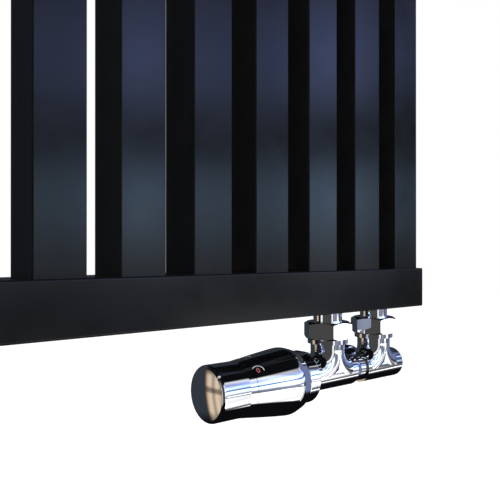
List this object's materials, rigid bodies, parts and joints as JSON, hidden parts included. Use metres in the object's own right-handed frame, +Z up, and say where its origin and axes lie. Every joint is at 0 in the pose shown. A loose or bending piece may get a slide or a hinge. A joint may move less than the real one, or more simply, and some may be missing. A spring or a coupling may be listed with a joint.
{
  "type": "radiator with valve",
  "caption": "Upright panel of square tubes between two rails, with a chrome thermostatic double valve under one end and wall brackets behind.",
  "frame": {"origin": "centre of the four wall fixings, on the wall's face", "axes": "+Z up along the tubes, +Y towards the wall, +X to the right as seen from the room"},
  "size_m": [0.534, 0.0789, 1.8648],
  "materials": {
    "radiator_paint": "satin",
    "bracket_paint": "satin",
    "chrome": "polished",
    "plain_steel": "satin",
    "pin_steel": "polished",
    "brass": "turned",
    "rubber": "matte",
    "carrier_plastic": "matte"
  },
  "bodies": {
    "radiator": {"bottom_rail": "radiator_paint", "top_rail": "radiator_paint", "bottom_rail_cap_left": "radiator_paint", "bottom_rail_cap_right": "radiator_paint", "top_rail_cap_left": "radiator_paint", "top_rail_cap_right": "radiator_paint", "bracket_studs": "radiator_paint", "riser_tube_01": "radiator_paint", "riser_tube_02": "radiator_paint", "riser_tube_03": "radiator_paint", "riser_tube_04": "radiator_paint", "riser_tube_05": "radiator_paint", "riser_tube_06": "radiator_paint", "riser_tube_07": "radiator_paint", "riser_tube_08": "radiator_paint", "riser_tube_09": "radiator_paint", "riser_tube_10": "radiator_paint", "riser_tube_11": "radiator_paint", "riser_tube_12": "radiator_paint", "wall_cup_1": "bracket_paint", "wall_cup_2": "bracket_paint", "wall_cup_3": "bracket_paint", "wall_cup_4": "bracket_paint", "port_bush_left": "plain_steel", "port_bush_right": "plain_steel", "flow_baffle": "plain_steel", "grip_clip": "plain_steel", "bracket_grub_screws": "plain_steel", "insert_housing": "brass", "insert_gland": "brass", "regulator_gland": "brass", "coupling_o_rings": "rubber", "union_seal_left": "rubber", "union_seal_right": "rubber", "tail_piece_left": "chrome", "tail_piece_right": "chrome", "union_nut_left": "chrome", "union_nut_right": "chrome", "valve_body": "chrome", "lockshield_body": "chrome", "body_coupling": "chrome", "lockshield_cap": "chrome", "head_base": "chrome", "head_union_ring": "chrome", "air_vent_body": "chrome"},
    "grip": {"head_grip": "chrome", "setting_nut": "brass"},
    "sensor": {"sensor_carrier": "carrier_plastic", "sensor_element": "brass"},
    "plunger": {"plunger_pin": "pin_steel", "valve_disc": "brass", "disc_seal": "rubber", "return_spring": "plain_steel"},
    "regulator": {"regulator_cone": "brass"},
    "regulator_screw": {"regulator_spindle": "brass"},
    "vent_screw": {"air_vent_screw": "brass"}
  },
  "joints": [
    {"name": "grip_turn", "type": "hinge", "parent": "radiator", "child": "grip", "pos_m": [0.085, -0.057, -0.9429], "axis": [-1, 0, 0], "range_deg": [0, 225]},
    {"name": "sensor_slide", "type": "slide", "parent": "radiator", "child": "sensor", "axis": [-1, 0, 0], "range_m": [0, 0.0025]},
    {"name": "plunger_slide", "type": "slide", "parent": "radiator", "child": "plunger", "axis": [-1, 0, 0], "range_m": [0, 0.0025]},
    {"name": "regulator_slide", "type": "slide", "parent": "radiator", "child": "regulator", "axis": [1, 0, 0], "range_m": [-0.001, 0.001]},
    {"name": "regulator_turn", "type": "hinge", "parent": "regulator", "child": "regulator_screw", "pos_m": [0.245, -0.057, -0.9429], "axis": [1, 0, 0], "range_deg": [-360, 360]},
    {"name": "vent_turn", "type": "hinge", "parent": "radiator", "child": "vent_screw", "pos_m": [0.266, -0.057, 0.8855], "axis": [1, 0, 0], "range_deg": [0, 360]}
  ],
  "couplings": [
    {"joint": "sensor_slide", "follows": "grip_turn", "m_per_rad": 0.000636},
    {"joint": "plunger_slide", "follows": "grip_turn", "m_per_rad": 0.000636},
    {"joint": "regulator_turn", "follows": "regulator_slide", "rad_per_m": 6283}
  ]
}
